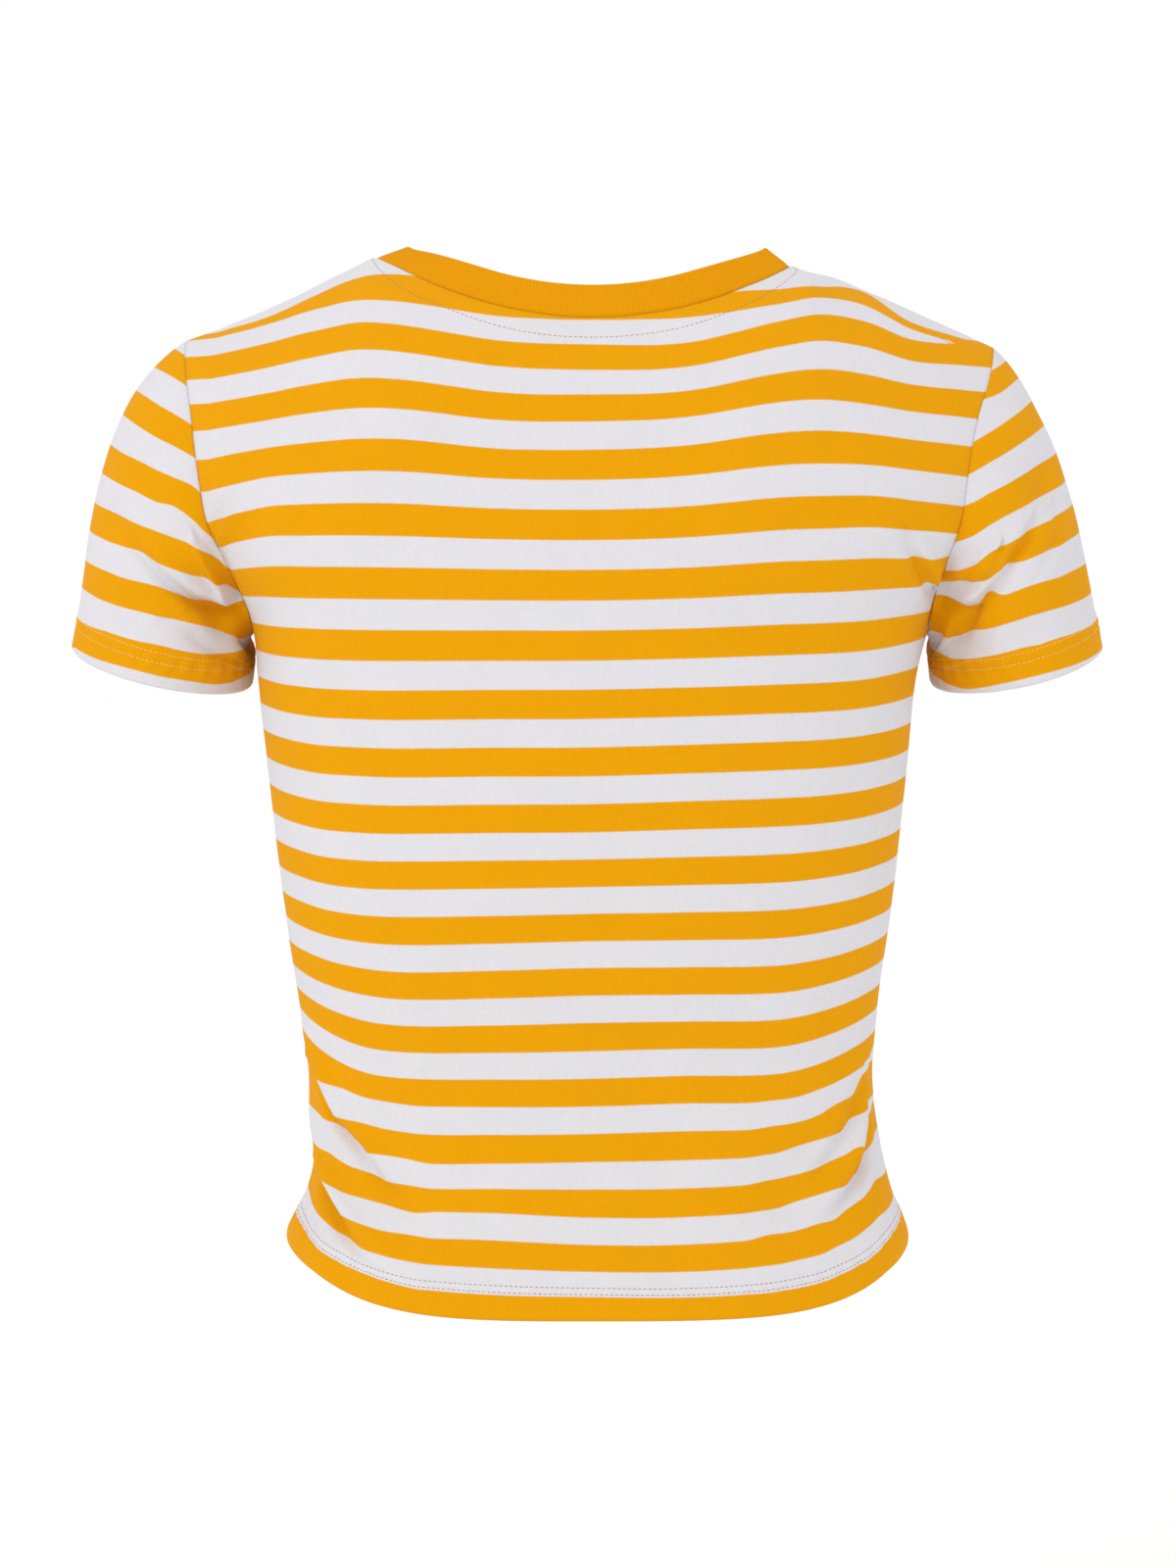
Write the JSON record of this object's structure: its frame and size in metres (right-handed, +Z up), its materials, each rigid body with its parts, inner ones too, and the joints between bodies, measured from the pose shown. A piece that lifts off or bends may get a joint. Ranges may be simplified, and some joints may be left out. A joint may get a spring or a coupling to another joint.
{
  "type": "crop top",
  "caption": "Short-sleeved crop top in striped jersey with a ribbed neckband, in its worn form: hollow, with open neck, cuffs and hem.",
  "frame": {"origin": "on the centre line, midway between the neck ends of the two shoulder seams, where the shoulders carry the garment", "axes": "+Z up, -Y towards the front of the garment, +X towards the wearer's left"},
  "size_m": [0.4646, 0.2181, 0.4651],
  "materials": {
    "striped_jersey": "matte single jersey, knitted in golden-orange and white stripes",
    "rib": "matte fine rib, golden orange"
  },
  "bodies": {
    "root": {"back": "striped_jersey", "front": "striped_jersey", "sleeve_left": "striped_jersey", "sleeve_right": "striped_jersey", "neckband": "rib"}
  },
  "joints": []
}
